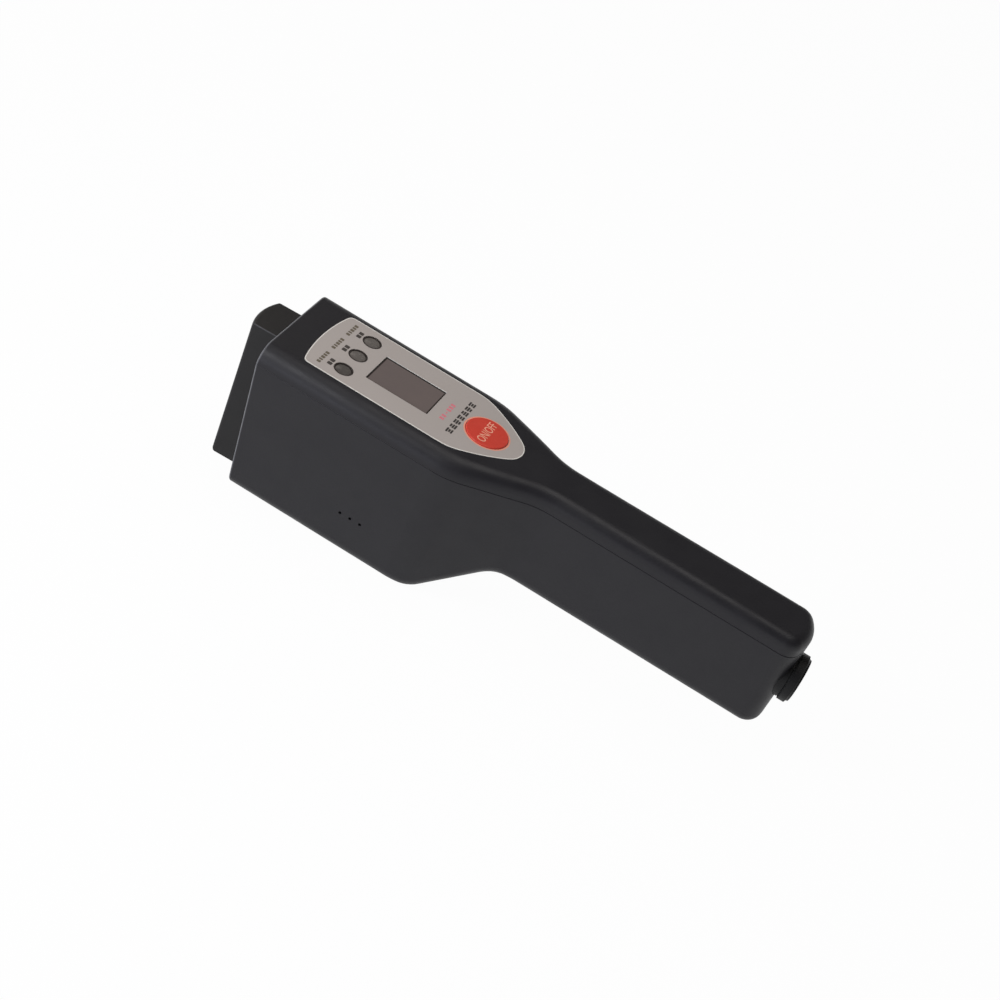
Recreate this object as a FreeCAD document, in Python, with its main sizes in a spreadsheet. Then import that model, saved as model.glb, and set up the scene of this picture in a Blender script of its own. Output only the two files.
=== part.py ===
import FreeCAD, Part
import math
import os
import Sketcher
from FreeCAD import Placement, Rotation, Vector

# Hand-held screening detector with a deep head, a slim grip and a screwed battery cap.
# Frame: millimetres. +X runs from the head towards the grip's end and +Z points out of the
# label. The origin is the middle of the head's flat underside.

DOC = FreeCAD.newDocument("HandheldDetector")
SHEET = DOC.addObject("Spreadsheet::Sheet", "Sizes")
PARTS = []

# name, value in millimetres or degrees, meaning
DRIVING_SIZES = [
    ("head_half_width", 34.3, "half of the head's width at the parting line"),
    ("grip_half_width", 15.8, "half of the grip's width at the parting line"),
    ("rim_reach", 54, "origin to the head's front rim, at the parting line"),
    ("shoulder_start", 40.4, "origin to where the head starts to narrow"),
    ("shoulder_radius", 37.6, "outer bend of the neck, in plan"),
    ("waist_radius", 34, "inner bend of the neck, in plan"),
    ("neck_slant", 24.5, "slant of the neck's sides, in plan"),
    ("grip_reach", 221.3, "origin to the end of the grip's flat sides"),
    ("end_crown", 5.8, "rise of the grip's crowned end"),
    ("end_corner_radius", 8.6, "upright corners of the grip's end"),
    ("head_depth", 85, "label face to the head's underside"),
    ("grip_depth", 59.2, "label face to the grip's underside"),
    ("belly_start", 46.4, "origin to where the underside starts to rise"),
    ("belly_radius", 16, "outer bend of the underside"),
    ("throat_radius", 16, "inner bend of the underside"),
    ("belly_slant", 40, "slant of the rising underside"),
    ("lid_depth", 9.5, "label face to the parting line"),
    ("draft_angle", 4.5, "mould draft of the tub"),
    ("head_edge_radius", 9.3, "rounded top edge along the head"),
    ("grip_edge_radius", 5.6, "rounded top edge along the grip"),
    ("lower_edge_radius", 6.8, "rounded lower edge"),
    ("brow_radius", 5, "rounded lower front corner of the head"),
    ("brow_dip", 0.2, "how far the front corner's bend would run below the underside"),
    ("lip_radius", 1, "rounded lip of the open front"),
    ("seam_radius", 0.4, "rounded edges where lid and tub meet"),
    ("front_contact_length", 2.5, "front contact between tube and cell"),
    ("board_screw_radius", 0.95, "board screws"),
    ("nose_screw_inset", 8, "nose screws to the ends of the nose's flange"),
    ("wall", 2.5, "housing wall"),
    ("face_setback", 2, "rim to the front plate, at the underside"),
    ("face_tilt", 2.2, "lean of the front plate and nose"),
    ("plate_thickness", 2.5, "front plate"),
    ("plate_gap", 0.15, "front plate to the housing's inside"),
    ("ledge_width", 2.4, "ledge that the front plate seats on"),
    ("ledge_thickness", 2, "ledge that the front plate seats on"),
    ("nose_half_width", 12.5, "half of the nose's width"),
    ("nose_reach", 22.5, "front plate to the nose's front face"),
    ("nose_crown", 2.4, "rise of the nose's front face"),
    ("nose_low", 3.2, "underside to the nose where it passes the rim"),
    ("chin_low", 0.95, "underside to the nose's chin, ahead of the rim"),
    ("chin_gap", 0.4, "chin to the rim"),
    ("nose_drop", 5.4, "label face to the nose's top"),
    ("nose_wall", 2, "wall of the nose cover"),
    ("nose_end_wall", 5, "top and bottom walls of the nose cover"),
    ("nose_corner_radius", 1.6, "front corners of the nose"),
    ("nose_gap", 0.15, "nose cover to the front plate's opening"),
    ("flange_width", 4, "flange of the nose cover"),
    ("flange_thickness", 2, "flange of the nose cover"),
    ("pad_half_width", 9, "half of the sensing pad's width"),
    ("pad_margin", 8, "sensing pad to the nose's top and bottom"),
    ("pad_thickness", 1.2, "sensing pad"),
    ("pad_gap", 0.1, "sensing pad to its seat"),
    ("electrode_width", 7, "sensing electrode"),
    ("electrode_thickness", 0.4, "sensing electrode"),
    ("electrode_split", 3, "gap between the sensing electrodes"),
    ("sensor_board_gap", 0.5, "sensor board to the nose's inside"),
    ("shield_depth", 6, "shield can behind the sensor board"),
    ("shield_inset", 3, "shield can to the sensor board's edges"),
    ("board_thickness", 1.6, "circuit boards"),
    ("label_half_width", 25, "half of the label's width"),
    ("label_front", 36.5, "origin to the label's front edge"),
    ("label_side_end", 41, "origin to the end of the label's straight sides"),
    ("label_taper_end", 66.5, "origin to the end of the label's tapered sides"),
    ("label_tip", 70.5, "origin to the label's rear tip"),
    ("label_tip_half_width", 8.8, "half of the label's width where its tip rounds off"),
    ("label_side_bow", 100, "radius of the label's tapered sides"),
    ("label_front_bow", 110, "radius of the label's front edge"),
    ("label_corner_radius", 2.4, "front corners of the label"),
    ("label_thickness", 0.35, "label plate"),
    ("label_recess", 0.3, "depth of the label's seat"),
    ("label_gap", 0.15, "label to the edge of its seat"),
    ("window_x", 7, "origin to the middle of the display window"),
    ("window_half_length", 16.6, "half of the display window's length"),
    ("window_half_width", 11.5, "half of the display window's width"),
    ("window_thickness", 1.2, "display window"),
    ("window_gap", 0.1, "display window to its opening"),
    ("window_recess", 0.5, "label face to the display window"),
    ("module_margin", 3, "display module past its window"),
    ("lamp_x", 19.75, "origin to the row of lamps, towards the rim"),
    ("lamp_pitch", 15.25, "distance between lamps"),
    ("lamp_radius", 4.1, "lamp lens"),
    ("bezel_radius", 4.8, "ring round a lamp lens"),
    ("lens_thickness", 3, "ring round a lamp lens"),
    ("lens_recess", 0.35, "label face to the lamp lens"),
    ("led_radius", 2.5, "light-emitting diode"),
    ("button_x", 51, "origin to the middle of the power button"),
    ("button_radius", 10.7, "power button"),
    ("button_gap", 0.2, "power button to its opening"),
    ("button_edge_radius", 0.5, "rounded edge of the power button"),
    ("button_stand", 0.2, "power button above the label face"),
    ("button_travel", 0.8, "stroke of the power button"),
    ("button_flange", 1.2, "retaining flange of the power button"),
    ("stem_radius", 2, "stem of the power button"),
    ("switch_width", 6, "tactile switch"),
    ("switch_height", 3.5, "tactile switch"),
    ("main_board_front", 30.5, "origin to the main board's front edge, towards the rim"),
    ("main_board_rear", 60, "origin to the main board's rear edge"),
    ("main_board_half_width", 24, "half of the main board's width"),
    ("main_board_drop", 12.5, "label face to the main board's top"),
    ("post_radius", 2.8, "posts that carry the main board"),
    ("post_inset", 4, "post to the main board's edges"),
    ("boss_radius", 4.6, "housing screw bosses"),
    ("well_radius", 3.2, "screw wells in the underside"),
    ("screw_radius", 1.5, "housing screws"),
    ("screw_gap", 0.2, "screws to their clearance holes"),
    ("screw_head_radius", 2.75, "heads of the housing screws"),
    ("screw_head_height", 2.2, "heads of the housing screws"),
    ("screw_length", 12, "shanks of the housing screws"),
    ("screw_tip_gap", 1, "tips of the housing screws to the lid's ceiling"),
    ("front_boss_x", 36, "origin to the front screws, towards the rim"),
    ("front_boss_y", 12.5, "middle plane to the front screws"),
    ("rear_boss_x", 68.5, "origin to the rear screws"),
    ("rear_boss_y", 9, "middle plane to the rear screws"),
    ("cell_radius", 9.2, "battery cell"),
    ("cap_contact_length", 6.3, "cap contact between the cell and the plug"),
    ("cell_gap", 0.25, "battery cell to its tube"),
    ("tube_wall", 1.7, "battery tube"),
    ("tube_front", 80, "origin to the battery tube's closed end"),
    ("tube_drop", 28.2, "label face to the battery tube's axis"),
    ("collar_radius", 11.6, "collar of the battery tube"),
    ("collar_length", 8, "collar of the battery tube"),
    ("collar_stand", 0.2, "collar past the crowned end"),
    ("saddle_thickness", 2.4, "ribs that carry the battery tube"),
    ("front_saddle_inset", 12, "closed end of the tube to its front rib"),
    ("rear_saddle_inset", 25, "end of the grip's sides to the rear rib"),
    ("cap_radius", 12.3, "battery cap"),
    ("cap_thickness", 4.9, "rim of the battery cap"),
    ("cap_gap", 0.3, "cap seal to the collar"),
    ("seal_thickness", 0.5, "seal under the battery cap"),
    ("slot_width", 2.2, "coin slot of the battery cap"),
    ("slot_depth", 1.3, "coin slot of the battery cap"),
    ("slot_half_length", 7.5, "coin slot of the battery cap"),
    ("contact_gap", 0.3, "cap contact to the cell and the plug"),
    ("contact_thickness", 0.8, "battery contacts"),
    ("contact_radius", 4.6, "front contact"),
    ("contact_tip_radius", 3, "end of the cap contact at the cell"),
    ("contact_margin", 1, "cap contact to the edge of the plug"),
    ("strip_half_width", 2.5, "battery strip"),
    ("chip_width", 12, "processor"),
    ("chip_thickness", 1.4, "processor"),
    ("cap_edge_radius", 1.4, "rounded edge of the battery cap"),
    ("cap_plug_length", 7, "plug of the battery cap"),
    ("running_gap", 0.1, "plug to the bore of the collar"),
    ("sound_hole_radius", 0.8, "sound holes"),
    ("sound_hole_pitch", 5.5, "distance between sound holes"),
    ("sound_hole_x", 14.8, "origin to the middle sound hole"),
    ("sound_hole_z", 23.3, "underside to the sound holes"),
    ("buzzer_radius", 11, "buzzer"),
    ("buzzer_thickness", 6, "buzzer"),
]


class Size:
    """A size known both as a number and as an expression on the sheet."""

    def __init__(self, number, text):
        self.number = float(number)
        self.text = text

    def __add__(self, other):
        other = as_size(other)
        return Size(self.number + other.number, "(%s + %s)" % (self.text, other.text))

    def __sub__(self, other):
        other = as_size(other)
        return Size(self.number - other.number, "(%s - %s)" % (self.text, other.text))

    def __mul__(self, other):
        other = as_size(other)
        return Size(self.number * other.number, "(%s * %s)" % (self.text, other.text))

    def __truediv__(self, other):
        other = as_size(other)
        return Size(self.number / other.number, "(%s / %s)" % (self.text, other.text))

    def __neg__(self):
        return as_size(0) - self

    def __radd__(self, other):
        return as_size(other) + self

    def __rsub__(self, other):
        return as_size(other) - self

    def __rmul__(self, other):
        return as_size(other) * self


def as_size(value):
    if isinstance(value, Size):
        return value
    return Size(value, repr(float(value)))


def sine(angle):
    return Size(math.sin(math.radians(angle.number)), "sin(%s)" % angle.text)


def cosine(angle):
    return Size(math.cos(math.radians(angle.number)), "cos(%s)" % angle.text)


def tangent(angle):
    return Size(math.tan(math.radians(angle.number)), "tan(%s)" % angle.text)


def root(size):
    return Size(math.sqrt(size.number), "sqrt(%s)" % size.text)


def fill_sheet():
    sizes = {}
    for row, (alias, value, meaning) in enumerate(DRIVING_SIZES, start=1):
        SHEET.set("A%d" % row, alias)
        SHEET.set("B%d" % row, str(value))
        SHEET.set("C%d" % row, meaning)
        SHEET.setAlias("B%d" % row, alias)
        sizes[alias] = Size(value, "Sizes." + alias)
    DOC.recompute()
    return sizes


class Driving:
    """The sheet's sizes, one attribute for each alias."""


S = Driving()
S.__dict__.update(fill_sheet())


# ---------------------------------------------------------------- helpers

def bind(item, **sizes):
    for name, size in sizes.items():
        item.setExpression(name, as_size(size).text)
    return item


def place(item, point, rotation=None, tilt=None):
    """Put an item at a point; tilt is a size that leans it about the Y axis."""
    if rotation is not None:
        item.Placement = Placement(Vector(), rotation)
    for axis, size in zip("xyz", point):
        item.setExpression("Placement.Base." + axis, as_size(size).text)
    if tilt is not None:
        item.Placement = Placement(Vector(), Rotation(Vector(0, 1, 0), tilt.number))
        item.setExpression("Placement.Rotation.Angle", tilt.text)
    return item


def block(name, low, extent):
    item = DOC.addObject("Part::Box", name)
    bind(item, Length=extent[0], Width=extent[1], Height=extent[2])
    return place(item, low)


UPWARD = Rotation()
REARWARD = Rotation(Vector(0, 1, 0), 90)
SIDEWARD = Rotation(Vector(1, 0, 0), -90)


def cylinder(name, radius, length, start, direction=UPWARD):
    item = DOC.addObject("Part::Cylinder", name)
    bind(item, Radius=radius, Height=length)
    return place(item, start, direction)


def fuse(name, items):
    item = DOC.addObject("Part::MultiFuse", name)
    item.Shapes = items
    item.Refine = True
    return item


def common(name, items):
    item = DOC.addObject("Part::MultiCommon", name)
    item.Shapes = items
    item.Refine = True
    return item


def cut(name, base, tools):
    item = DOC.addObject("Part::Cut", name)
    item.Base = base
    item.Tool = tools[0] if len(tools) == 1 else fuse(name + "_tools", tools)
    item.Refine = True
    return item


def sub_part(item, label):
    item.Label = label
    PARTS.append(item)
    return item


def new_body(name):
    return DOC.addObject("PartDesign::Body", name)


def new_sketch(body, role, name, offset=None):
    plane = [item for item in body.Origin.OriginFeatures if item.Role == role][0]
    sketch = body.newObject("Sketcher::SketchObject", name)
    sketch.AttachmentSupport = (plane, [""])
    sketch.MapMode = "FlatFace"
    if offset is not None:
        sketch.setExpression("AttachmentOffset.Base.z", as_size(offset).text)
    return sketch


def fix(sketch, kind, *where):
    """Add a constraint whose last argument is a size, and bind it to the sheet."""
    size = as_size(where[-1])
    index = sketch.addConstraint(Sketcher.Constraint(kind, *where[:-1], size.number))
    sketch.setExpression("Constraints[%d]" % index, size.text)


def arc_between(start, end, radius, turn):
    """A short arc from start to end; turn is 1 for anticlockwise and -1 for clockwise."""
    middle = (start + end) * 0.5
    half = (end - start) * 0.5
    rise = math.sqrt(max(radius ** 2 - half.Length ** 2, 0.0))
    across = Vector(-half.y, half.x, 0).normalize() * rise * turn
    centre = middle + across
    first, last = (start, end) if turn > 0 else (end, start)
    first_angle = math.atan2(first.y - centre.y, first.x - centre.x)
    last_angle = math.atan2(last.y - centre.y, last.x - centre.x)
    circle = Part.Circle(centre, Vector(0, 0, 1), radius)
    return Part.ArcOfCircle(circle, first_angle, last_angle)


def outline(sketch, corners):
    """Draw a closed outline. Each corner is (x, y) or (x, y, radius, turn), where the
    radius and turn belong to the arc that runs from it to the next corner."""
    numbers = [Vector(as_size(c[0]).number, as_size(c[1]).number, 0) for c in corners]
    count = len(corners)
    for index, corner in enumerate(corners):
        start = numbers[index]
        end = numbers[(index + 1) % count]
        if len(corner) == 2:
            sketch.addGeometry(Part.LineSegment(start, end), False)
        else:
            arc = arc_between(start, end, as_size(corner[2]).number, corner[3])
            sketch.addGeometry(arc, False)
    for index, corner in enumerate(corners):
        following = (index + 1) % count
        # a clockwise arc is stored the other way round, so its ends swap
        last = 1 if len(corner) == 4 and corner[3] < 0 else 2
        first = 2 if len(corners[following]) == 4 and corners[following][3] < 0 else 1
        sketch.addConstraint(Sketcher.Constraint("Coincident", index, last, following, first))
    for index, corner in enumerate(corners):
        first = 2 if len(corner) == 4 and corner[3] < 0 else 1
        fix(sketch, "DistanceX", -1, 1, index, first, corner[0])
        fix(sketch, "DistanceY", -1, 1, index, first, corner[1])
        if len(corner) == 4:
            fix(sketch, "Radius", index, corner[2])
    return sketch


def pad(body, sketch, length, name="Pad", reverse=False, taper=None):
    item = body.newObject("PartDesign::Pad", name)
    item.Profile = sketch
    item.Reversed = reverse
    bind(item, Length=length)
    if taper is not None:
        bind(item, TaperAngle=taper)
    DOC.recompute()
    return item


def pocket_through(body, sketch, name="Pocket"):
    item = body.newObject("PartDesign::Pocket", name)
    item.Profile = sketch
    item.Type = "ThroughAll"
    item.SideType = "Symmetric"
    DOC.recompute()
    return item


def edge_names(shape, wanted):
    """Names of the edges whose middle point and length pass the test."""
    names = []
    for index, edge in enumerate(shape.Edges, start=1):
        middle = edge.valueAt((edge.FirstParameter + edge.LastParameter) / 2)
        if wanted(middle, edge):
            names.append("Edge%d" % index)
    return names


def round_edges(body, base, radius, wanted, name="Fillet"):
    item = body.newObject("PartDesign::Fillet", name)
    item.Base = (base, edge_names(base.Shape, wanted))
    bind(item, Radius=radius)
    DOC.recompute()
    return item


# ---------------------------------------------------------------- housing forms

PARTING = S.head_depth - S.lid_depth
NOSE_HIGH = S.head_depth - S.nose_drop
TUBE_Z = S.head_depth - S.tube_drop
SLAB_HEIGHT = 3 * S.head_depth
NEAR = 0.01
BEYOND = 6


def crown_arc(inset, half):
    """Where the grip's crowned end crosses a half width, and the crown's radius."""
    side = S.grip_half_width
    crown = (side * side + S.end_crown * S.end_crown) / (2 * S.end_crown)
    middle = S.grip_reach + S.end_crown - crown
    radius = crown - inset
    return middle + root(radius * radius - half * half), radius


def plan_corners(inset, front):
    """Plan outline of the housing at the parting line, moved inwards by inset."""
    head = S.head_half_width - inset
    grip = S.grip_half_width - inset
    shoulder = S.shoulder_radius - inset
    waist = S.waist_radius + inset
    bend_x = S.shoulder_start + shoulder * sine(S.neck_slant)
    bend_y = head - shoulder * (1 - cosine(S.neck_slant))
    run = (bend_y - grip - waist * (1 - cosine(S.neck_slant))) / sine(S.neck_slant)
    waist_x = bend_x + run * cosine(S.neck_slant)
    waist_y = bend_y - run * sine(S.neck_slant)
    grip_x = waist_x + waist * sine(S.neck_slant)
    end_x, crown = crown_arc(inset, grip)
    return [
        (-front, head),
        (-front, -head),
        (S.shoulder_start, -head, shoulder, 1),
        (bend_x, -bend_y),
        (waist_x, -waist_y, waist, -1),
        (grip_x, -grip),
        (end_x, -grip, crown, 1),
        (end_x, grip),
        (grip_x, grip, waist, -1),
        (waist_x, waist_y),
        (bend_x, bend_y, shoulder, 1),
        (S.shoulder_start, head),
    ]


def long_plan_corners(inset, front):
    """The plan outline with a grip that runs past its crowned end."""
    corners = plan_corners(inset, front)
    end = S.grip_reach.number - BEYOND
    near, far = [index for index, corner in enumerate(corners) if corner[0].number > end]
    corners[near] = (S.grip_reach + S.head_depth, corners[near][1])
    corners[far] = (S.grip_reach + S.head_depth, corners[far][1])
    return corners


def end_trim_corners(inset):
    """Plan outline of what is cut off upright behind the crowned end."""
    half = S.grip_half_width + S.end_crown / 2
    end_x, crown = crown_arc(inset, half)
    past_end = S.grip_reach + 2 * S.head_depth
    return [
        (end_x, half, crown, -1),
        (end_x, -half),
        (past_end, -half),
        (past_end, half),
    ]


def underside_corners(inset):
    """Side outline of what is missing under the neck and grip, for the pocket."""
    floor = -PARTING + inset
    ceiling = -(S.grip_depth - S.lid_depth) + inset
    belly = S.belly_radius - inset
    throat = S.throat_radius + inset
    belly_x = S.belly_start + belly * sine(S.belly_slant)
    belly_z = floor + belly * (1 - cosine(S.belly_slant))
    rise = ceiling - throat * (1 - cosine(S.belly_slant)) - belly_z
    throat_x = belly_x + rise / tangent(S.belly_slant)
    throat_z = belly_z + rise
    level_x = throat_x + throat * sine(S.belly_slant)
    past_end = S.grip_reach + 2 * S.head_depth
    below = -2 * S.head_depth
    return [
        (S.belly_start, floor, belly, 1),
        (belly_x, belly_z),
        (throat_x, throat_z, throat, -1),
        (level_x, ceiling),
        (past_end, ceiling),
        (past_end, below),
        (-past_end, below),
        (-past_end, floor),
    ]


def end_corner_test(height):
    """A test for the upright edges where the grip's sides meet its crowned end."""
    def is_end_corner(middle, edge):
        upright = edge.BoundBox.ZLength > height.number / 2
        return upright and middle.x > S.grip_reach.number - BEYOND and abs(middle.y) > BEYOND
    return is_end_corner


def lower_form(name, inset, front):
    """Solid form of the tub below the parting line."""
    body = new_body(name)
    plan = outline(new_sketch(body, "XY_Plane", name + "_plan"), long_plan_corners(inset, front))
    base = pad(body, plan, PARTING, reverse=True, taper=-S.draft_angle)
    side = outline(new_sketch(body, "XZ_Plane", name + "_side"), underside_corners(inset))
    hollow = pocket_through(body, side, "Underside")
    trim = outline(new_sketch(body, "XY_Plane", name + "_end"), end_trim_corners(inset))
    ended = pocket_through(body, trim, "EndTrim")
    grip_height = S.grip_depth - S.lid_depth
    corner = S.end_corner_radius - inset
    last = round_edges(body, ended, corner, end_corner_test(grip_height), "EndCorners")
    low = -grip_height.number + inset.number + NEAR

    def is_lower(middle, edge):
        clear_of_rim = middle.x > -front.number + BEYOND
        along_side = abs(middle.y) > NEAR or middle.x > S.grip_reach.number
        return clear_of_rim and along_side and middle.z < low

    round_edges(body, last, S.lower_edge_radius - inset, is_lower, "LowerEdges")
    place(body, (0, 0, PARTING))
    DOC.recompute()
    return body


def upper_form(name, inset, front):
    """Solid form of the lid above the parting line, with its rounded top edge."""
    body = new_body(name + "_body")
    plan = outline(new_sketch(body, "XY_Plane", name + "_plan"), plan_corners(inset, front))
    height = S.lid_depth - inset
    corner = S.end_corner_radius - inset
    round_edges(body, pad(body, plan, height), corner, end_corner_test(height), "EndCorners")
    place(body, (0, 0, PARTING))
    DOC.recompute()
    head_radius = (S.head_edge_radius - inset).number
    grip_radius = (S.grip_edge_radius - inset).number
    neck_start = S.shoulder_start.number
    neck_end = max(corner.x for corner in neck_ends(body.Shape))

    def radius_at(x):
        share = min(max((x - neck_start) / (neck_end - neck_start), 0.0), 1.0)
        return head_radius + (grip_radius - head_radius) * share

    rounded = DOC.addObject("Part::Fillet", name)
    rounded.Base = body
    edges = []
    for index, edge in enumerate(body.Shape.Edges, start=1):
        middle = edge.valueAt((edge.FirstParameter + edge.LastParameter) / 2)
        on_top = abs(edge.BoundBox.ZMin - edge.BoundBox.ZMax) < NEAR and middle.z > PARTING.number + NEAR
        if on_top and middle.x > -front.number + NEAR:
            first, last = edge.Vertexes[0].Point, edge.Vertexes[-1].Point
            edges.append((index, radius_at(first.x), radius_at(last.x)))
    rounded.Edges = edges
    DOC.recompute()
    return rounded


def neck_ends(shape):
    """Points where the neck's last bend meets the grip's straight sides."""
    side = S.grip_half_width.number + NEAR
    end = S.grip_reach.number - 2 * BEYOND
    return [v.Point for v in shape.Vertexes if abs(v.Point.y) < side and v.Point.x < end]


FORWARD = Rotation(Vector(0, 1, 0), -90)
SIDES = (-1, 1)


def along(point, axis, shift):
    moved = [as_size(size) for size in point]
    moved["xyz".index(axis)] = moved["xyz".index(axis)] + shift
    return moved


# ---------------------------------------------------------------- places shared by pieces

LID_CEILING = S.head_depth - S.wall
BOARD_TOP = S.head_depth - S.main_board_drop
BOARD_LOW = BOARD_TOP - S.board_thickness
SCREW_SEAT = S.head_depth - S.wall - S.screw_tip_gap - S.screw_length
BOSSES = [(-S.front_boss_x, side * S.front_boss_y) for side in SIDES]
BOSSES += [(S.rear_boss_x, side * S.rear_boss_y) for side in SIDES]
LAMPS = [("left", -1), ("middle", 0), ("right", 1)]
TUBE_RADIUS = S.cell_radius + S.cell_gap + S.tube_wall
BORE_RADIUS = S.cell_radius + S.cell_gap
CROWN_X = S.grip_reach + S.end_crown
COLLAR_END = CROWN_X + S.collar_stand
CAP_FACE = COLLAR_END + S.cap_gap + S.seal_thickness
PLUG_END = CAP_FACE - S.cap_plug_length - S.contact_gap
CAP_CONTACT_START = PLUG_END - S.cap_contact_length
CELL_FRONT = S.tube_front + S.tube_wall + S.front_contact_length
CELL_LENGTH = (CAP_CONTACT_START - S.contact_gap - CELL_FRONT) / 2
# the front plate leans, so the nose pieces are laid out in a leaning frame that starts here
FACE_X = -(S.rim_reach - PARTING * tangent(S.draft_angle)) + S.face_setback
LEAN = -S.face_tilt


def leaning(item, forward, side, height):
    """Put an item in the leaning frame of the front plate."""
    x = FACE_X - forward * cosine(S.face_tilt) - height * sine(S.face_tilt)
    z = height * cosine(S.face_tilt) - forward * sine(S.face_tilt)
    return place(item, (x, side, z), tilt=LEAN)


def leaning_block(name, back, half_width, low, extent):
    """A leaning box: back is how far its rear face lies ahead of the plate's front face."""
    item = DOC.addObject("Part::Box", name)
    bind(item, Length=extent[0], Width=2 * half_width, Height=extent[1])
    return leaning(item, back + extent[0], -half_width, low)


# ---------------------------------------------------------------- housing

def brow_corners():
    """Side outline of what is cut off under the rounded front corner of the head."""
    low = -PARTING - S.brow_dip
    brow = S.brow_radius
    front_x = -(S.rim_reach - (PARTING - brow) * tangent(S.draft_angle))
    return [
        (front_x, low + brow, brow, 1),
        (front_x + brow, low),
        (front_x + brow, low - BEYOND),
        (front_x - BEYOND, low - BEYOND),
        (front_x - BEYOND, low + brow),
    ]


def on_rim_plane(point):
    """Whether a point lies on the tub's leaning front face."""
    lean = math.tan(math.radians(S.draft_angle.number))
    return abs(point.x + S.rim_reach.number + point.z * lean) < 5 * NEAR


def is_level_at(edge, height):
    box = edge.BoundBox
    return abs(box.ZMax - height) < NEAR and abs(box.ZMin - height) < NEAR


def outer_tub():
    """The tub's outer form, with its rounded front corner, lip and parting edge."""
    body = lower_form("outer_lower", as_size(0), S.rim_reach)

    def on_lip(middle, edge):
        return all(on_rim_plane(v.Point) for v in edge.Vertexes) and not is_level_at(edge, 0)

    def on_parting(middle, edge):
        return is_level_at(edge, 0) and middle.x > -S.rim_reach.number + NEAR

    lip = round_edges(body, body.Tip, S.lip_radius, on_lip, "Lip")
    round_edges(body, lip, S.seam_radius, on_parting, "Seam")
    sketch = outline(new_sketch(body, "XZ_Plane", "brow_side"), brow_corners())
    pocket_through(body, sketch, "Brow")
    return body


def round_solid(name, base, radius, wanted):
    """Round some edges of a solid by one radius."""
    item = DOC.addObject("Part::Fillet", name)
    item.Base = base
    edges = enumerate(base.Shape.Edges, start=1)
    item.Edges = [(index, radius.number, radius.number) for index, edge in edges if wanted(edge)]
    DOC.recompute()
    return item


def outer_lid():
    """The lid's outer form, with its rounded lip and parting edge."""
    form = upper_form("outer_upper", as_size(0), S.rim_reach)
    front = -S.rim_reach.number

    def on_lip(edge):
        return edge.BoundBox.XMax < front + NEAR and not is_level_at(edge, PARTING.number)

    def on_parting(edge):
        return edge.BoundBox.XMax > front + NEAR and is_level_at(edge, PARTING.number)

    lipped = round_solid("lid_lip", form, S.lip_radius, on_lip)
    return round_solid("outer_lid", lipped, S.seam_radius, on_parting)


OUTER_LOWER = outer_tub()
OUTER_UPPER = outer_lid()
CORE_LOWER = lower_form("core_lower", S.wall, S.rim_reach + BEYOND)
CORE_UPPER = upper_form("core_upper", S.wall, S.rim_reach + BEYOND)
LEDGE_INSET = S.wall + S.ledge_width
SEAT_LOWER = lower_form("seat_lower", LEDGE_INSET, S.rim_reach + BEYOND)
SEAT_UPPER = upper_form("seat_upper", LEDGE_INSET, S.rim_reach + BEYOND)
PLATE_LOWER = lower_form("plate_lower", S.wall + S.plate_gap, S.rim_reach + BEYOND)
PLATE_UPPER = upper_form("plate_upper", S.wall + S.plate_gap, S.rim_reach + BEYOND)


def ledge(name, outer, seat):
    """Rib just behind the front plate, along the inside of one shell."""
    back = -(S.plate_thickness + S.plate_gap + S.ledge_thickness)
    slab = leaning_block(name + "_slab", back, S.rim_reach, -S.head_depth,
                         (S.ledge_thickness, SLAB_HEIGHT))
    ring = common(name + "_ring", [slab, outer])
    return cut(name, ring, [seat])


def build_housing_base():
    shell = cut("base_shell", OUTER_LOWER, [CORE_LOWER])
    columns = []
    wells = []
    for index, (x, y) in enumerate(BOSSES):
        name = "base_boss_%d" % index
        columns.append(cylinder(name, S.boss_radius, PARTING, (x, y, 0)))
        wells.append(cylinder(name + "_well", S.well_radius, SCREW_SEAT + BEYOND, (x, y, -BEYOND)))
        hole = S.screw_radius + S.screw_gap
        wells.append(cylinder(name + "_hole", hole, PARTING, (x, y, BEYOND)))
    reach = S.grip_half_width
    saddles = (S.tube_front + S.front_saddle_inset, S.grip_reach - S.rear_saddle_inset)
    for index, x in enumerate(saddles):
        low = (x, -reach, S.wall)
        columns.append(block("saddle_%d" % index, low,
                             (S.saddle_thickness, 2 * reach, TUBE_Z - S.wall)))
    inner = common("base_inner", [fuse("base_columns", columns), OUTER_LOWER])
    wells.append(cylinder("saddle_bed", TUBE_RADIUS, S.grip_reach, (S.tube_front, 0, TUBE_Z), REARWARD))
    collar_hole = S.collar_radius + S.plate_gap
    wells.append(cylinder("collar_hole", collar_hole, S.collar_length + BEYOND,
                          (COLLAR_END - S.collar_length, 0, TUBE_Z), REARWARD))
    for shift in SIDES + (0,):
        x = S.sound_hole_x + shift * S.sound_hole_pitch
        wells.append(cylinder("sound_hole_%d" % shift, S.sound_hole_radius, S.head_half_width,
                              (x, -S.head_half_width - BEYOND, S.sound_hole_z), SIDEWARD))
    ledge_ring = ledge("base_ledge", OUTER_LOWER, SEAT_LOWER)
    whole = fuse("base_whole", [shell, inner, ledge_ring])
    return sub_part(cut("base", whole, wells), "housing_base")


def label_corners(shift):
    """Outline of the label, grown by shift."""
    half = S.label_half_width + shift
    tip_half = S.label_tip_half_width + shift
    front = S.label_front + shift
    taper = S.label_taper_end + shift / 2
    tip = S.label_tip + shift
    rise = tip - taper
    tip_radius = (tip_half * tip_half + rise * rise) / (2 * rise)
    return [
        (-front, half, S.label_front_bow, 1),
        (-front, -half),
        (S.label_side_end, -half, S.label_side_bow, 1),
        (taper, -tip_half, tip_radius, 1),
        (taper, tip_half, S.label_side_bow, 1),
        (S.label_side_end, half),
    ]


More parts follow.
